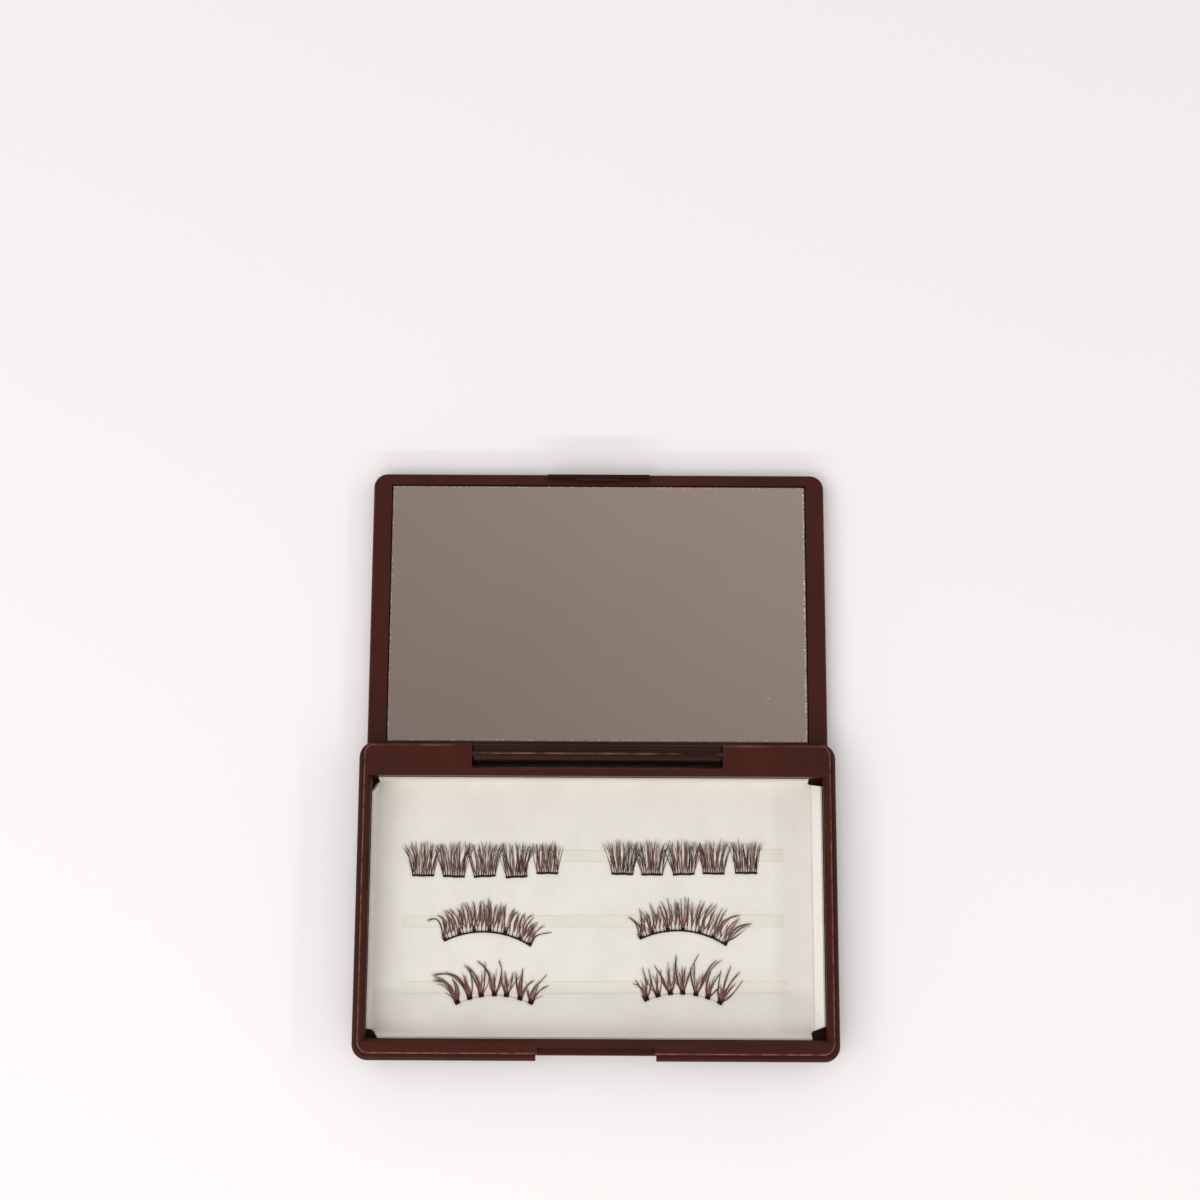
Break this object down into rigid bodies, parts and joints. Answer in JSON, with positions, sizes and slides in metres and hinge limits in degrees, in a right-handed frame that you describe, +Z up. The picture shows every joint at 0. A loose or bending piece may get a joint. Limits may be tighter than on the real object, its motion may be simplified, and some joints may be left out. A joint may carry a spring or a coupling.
{
  "type": "false eyelash case",
  "caption": "Flat hinged compact for false eyelashes, lying open, with a mirror in its lid and a folded card tray of lashes in its base.",
  "frame": {"origin": "on the underside, at the centre of the base part", "axes": "+Z up, +Y from the front edge towards the hinge and the open lid, +X to the right seen from the front"},
  "size_m": [0.115, 0.1428, 0.0097],
  "materials": {
    "brown_plastic": "satin dark brown moulded plastic",
    "mirror": "silvered glass",
    "clear_tape": "clear dotted double-sided tape",
    "white_card": "uncoated white paper card",
    "lash_hair": "fine dark synthetic hair",
    "steel": "dark drawn steel wire"
  },
  "bodies": {
    "case_base": {"base_shell": "brown_plastic", "hinge_pin_left": "steel", "hinge_pin_right": "steel", "card_tray": "white_card", "adhesive_strip_rear": "clear_tape", "adhesive_strip_middle": "clear_tape", "adhesive_strip_front": "clear_tape", "lash_cluster_left_1": "lash_hair", "lash_cluster_left_2": "lash_hair", "lash_cluster_left_3": "lash_hair", "lash_cluster_left_4": "lash_hair", "lash_cluster_left_5": "lash_hair", "lash_cluster_right_1": "lash_hair", "lash_cluster_right_2": "lash_hair", "lash_cluster_right_3": "lash_hair", "lash_cluster_right_4": "lash_hair", "lash_cluster_right_5": "lash_hair", "full_lash_left": "lash_hair", "full_lash_right": "lash_hair", "spiked_lash_left": "lash_hair", "spiked_lash_right": "lash_hair"},
    "lid": {"lid_shell": "brown_plastic", "mirror_glass": "mirror", "mirror_pad": "clear_tape"}
  },
  "joints": [
    {"name": "lid_hinge", "type": "hinge", "parent": "case_base", "child": "lid", "pos_m": [0, 0.0341, 0.007], "axis": [1, 0, 0], "range_deg": [0, 180]}
  ]
}
